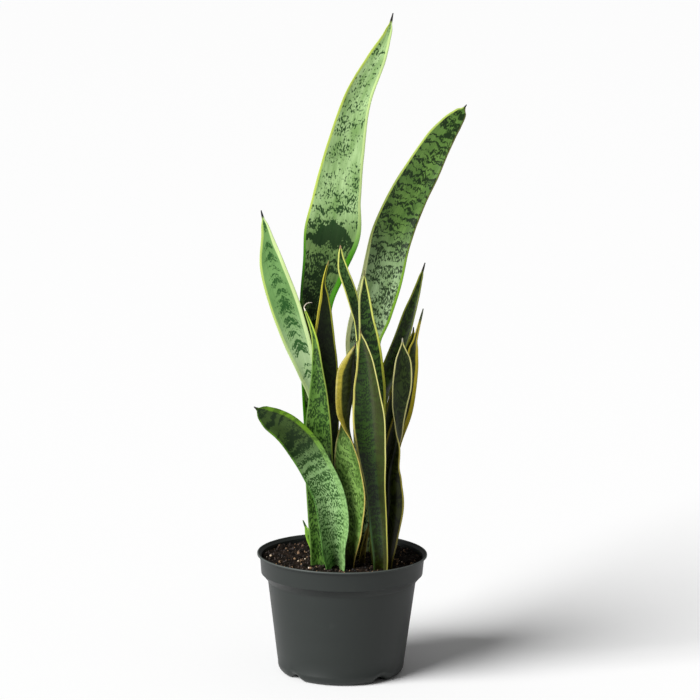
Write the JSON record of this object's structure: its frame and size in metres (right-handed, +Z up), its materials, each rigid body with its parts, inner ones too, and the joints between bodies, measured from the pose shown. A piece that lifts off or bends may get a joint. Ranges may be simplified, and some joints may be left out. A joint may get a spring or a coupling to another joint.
{
  "type": "potted snake plant",
  "caption": "Snake plant with stiff, upright, channelled sword-shaped leaves, growing from potting mix in a round moulded nursery pot with a banded rim and foot notches.",
  "frame": {"origin": "on the pot's axis, in the plane that the pot's foot stands on", "axes": "+Z up along the pot's axis, -Y towards the viewer's side, +X to the viewer's right"},
  "size_m": [0.2015, 0.165, 0.6382],
  "materials": {
    "pot": "satin dark grey moulded plastic",
    "potting_mix": "rough dark peat with bark",
    "rhizome": "matt fleshy stem",
    "leaf_pale": "satin waxy leaf",
    "leaf_mid": "satin waxy leaf",
    "leaf_dark": "satin waxy leaf"
  },
  "bodies": {
    "root": {"pot": "pot", "potting_mix": "potting_mix", "rhizome": "rhizome", "leaf_tall_left": "leaf_pale", "leaf_lean_left": "leaf_pale", "leaf_left_front": "leaf_mid", "leaf_arching": "leaf_pale", "leaf_centre": "leaf_dark", "leaf_twisted": "leaf_pale", "leaf_thin_middle": "leaf_mid", "leaf_middle": "leaf_mid", "leaf_front": "leaf_dark", "leaf_dark_right": "leaf_dark", "leaf_right_twisted": "leaf_dark", "leaf_yellow_edged": "leaf_mid", "leaf_back_right": "leaf_mid", "leaf_tall_right": "leaf_mid", "leaf_small_scale": "leaf_pale", "leaf_small_middle": "leaf_mid"}
  },
  "joints": []
}
